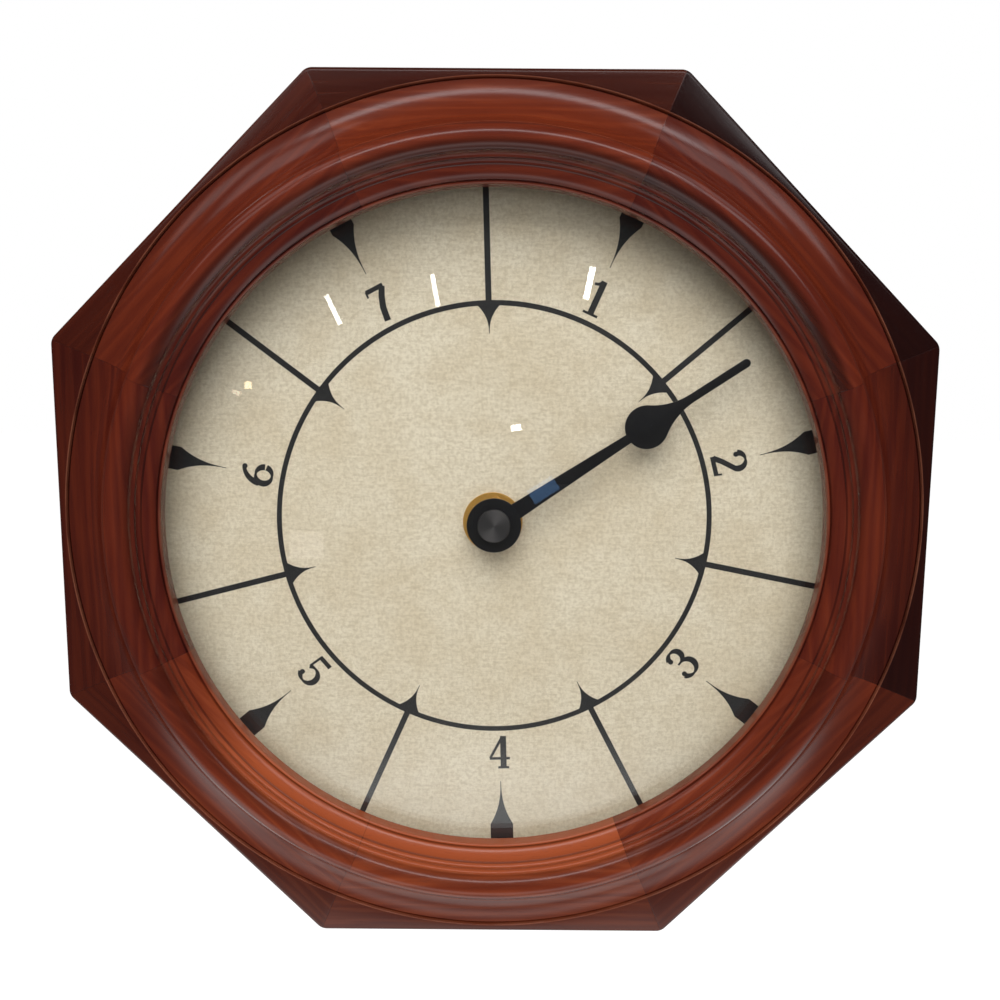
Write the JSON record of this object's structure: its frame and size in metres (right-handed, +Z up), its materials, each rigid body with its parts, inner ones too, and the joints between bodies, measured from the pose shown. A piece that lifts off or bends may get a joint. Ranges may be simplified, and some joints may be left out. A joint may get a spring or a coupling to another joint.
{
  "type": "wall clock",
  "caption": "Octagonal turned-wood wall clock with a domed glass, a parchment dial of weekday sectors and a spade hand that turns once a week.",
  "frame": {"origin": "centre of the round end of the hanger's keyhole, in the plane of the wall", "axes": "+Z up, +Y into the wall, the dial faces -Y, +X to the right as seen from the front"},
  "size_m": [0.305, 0.0477, 0.305],
  "materials": {
    "stained_wood": "satin lacquer over red-brown stain",
    "clock_glass": "polished",
    "black_card": "matte",
    "parchment_card": "matte printed card",
    "hardboard": "smooth pressed board",
    "brass_screw": "plated",
    "black_rubber": "matte",
    "zinc_steel": "zinc plated",
    "black_case": "fine spark texture",
    "brass": "turned",
    "battery_sleeve": "printed sleeve",
    "nickel_contact": "nickel plated",
    "green_laminate": "solder resist",
    "black_resin": "cured drop",
    "ivory_plastic": "moulded",
    "copper_wire": "enamelled wire",
    "core_steel": "stamped",
    "magnet": "sintered",
    "black_lacquer": "semi-gloss black lacquer",
    "brushed_black": "turned face, black"
  },
  "bodies": {
    "case": {"stave_top": "stained_wood", "stave_top_right": "stained_wood", "stave_right": "stained_wood", "stave_bottom_right": "stained_wood", "stave_bottom": "stained_wood", "stave_bottom_left": "stained_wood", "stave_left": "stained_wood", "stave_top_left": "stained_wood", "glass_dome": "clock_glass", "spacer_strip": "black_card", "dial_card": "parchment_card", "dial_board": "hardboard", "board_screws": "brass_screw", "case_gasket": "black_rubber", "hanger_plate": "zinc_steel", "hanger_screws": "zinc_steel", "front_case": "black_case", "threaded_bush": "brass", "back_cover": "black_case", "cover_screws": "zinc_steel", "contact_plus": "nickel_contact", "contact_minus": "nickel_contact", "circuit_board": "green_laminate", "quartz_can": "nickel_contact", "driver_chip": "black_resin", "coil_bobbin": "ivory_plastic", "coil_winding": "copper_wire", "coil_core": "core_steel", "stator": "core_steel", "stator_screws": "zinc_steel", "brass_washer": "brass", "hex_nut": "brass"},
    "battery": {"battery": "battery_sleeve"},
    "hand": {"day_wheel": "ivory_plastic", "spindle": "brass", "day_hand": "black_lacquer", "hand_cap": "brushed_black"},
    "setting": {"setting_shaft": "ivory_plastic", "setting_knob": "ivory_plastic"},
    "clutch": {"clutch_arbor": "brass", "clutch_spring": "zinc_steel"},
    "rotor": {"rotor_arbor": "ivory_plastic", "rotor_magnet": "magnet"},
    "wheel_1": {"first_wheel": "ivory_plastic"},
    "wheel_2": {"second_wheel": "ivory_plastic"},
    "wheel_3": {"third_wheel": "ivory_plastic"},
    "wheel_4": {"fourth_wheel": "ivory_plastic"},
    "wheel_5": {"fifth_wheel": "ivory_plastic"}
  },
  "joints": [
    {"name": "hand_turn", "type": "hinge", "parent": "case", "child": "hand", "pos_m": [0, -0.009, -0.13745], "axis": [0, 1, 0], "continuous": true},
    {"name": "setting_turn", "type": "hinge", "parent": "case", "child": "setting", "pos_m": [0.00846, -0.009, -0.14053], "axis": [0, 1, 0], "continuous": true},
    {"name": "clutch_turn", "type": "hinge", "parent": "case", "child": "clutch", "pos_m": [0.0042, -0.009, -0.13017], "axis": [0, 1, 0], "continuous": true},
    {"name": "first_wheel_turn", "type": "hinge", "parent": "case", "child": "wheel_1", "pos_m": [-0.0001, -0.009, -0.12137], "axis": [0, 1, 0], "continuous": true},
    {"name": "rotor_turn", "type": "hinge", "parent": "case", "child": "rotor", "pos_m": [-0.00889, -0.009, -0.12152], "axis": [0, 1, 0], "continuous": true},
    {"name": "second_wheel_turn", "type": "hinge", "parent": "case", "child": "wheel_2", "pos_m": [0.0087, -0.009, -0.12152], "axis": [0, 1, 0], "continuous": true},
    {"name": "third_wheel_turn", "type": "hinge", "parent": "case", "child": "wheel_3", "pos_m": [0.0175, -0.009, -0.12168], "axis": [0, 1, 0], "continuous": true},
    {"name": "fourth_wheel_turn", "type": "hinge", "parent": "case", "child": "wheel_4", "pos_m": [0.01314, -0.009, -0.12955], "axis": [0, 1, 0], "continuous": true},
    {"name": "fifth_wheel_turn", "type": "hinge", "parent": "case", "child": "wheel_5", "pos_m": [0.0042, -0.009, -0.13017], "axis": [0, 1, 0], "continuous": true},
    {"name": "battery_slide", "type": "slide", "parent": "case", "child": "battery", "axis": [0, 1, 0], "range_m": [0, 0.02]}
  ],
  "couplings": [
    {"joint": "setting_turn", "follows": "hand_turn", "ratio": -4},
    {"joint": "clutch_turn", "follows": "hand_turn", "ratio": -6},
    {"joint": "rotor_turn", "follows": "first_wheel_turn", "ratio": -10},
    {"joint": "second_wheel_turn", "follows": "first_wheel_turn", "ratio": -0.1},
    {"joint": "third_wheel_turn", "follows": "first_wheel_turn", "ratio": 0.011111},
    {"joint": "fourth_wheel_turn", "follows": "first_wheel_turn", "ratio": -0.0013889},
    {"joint": "fifth_wheel_turn", "follows": "first_wheel_turn", "ratio": 0.00019841}
  ]
}
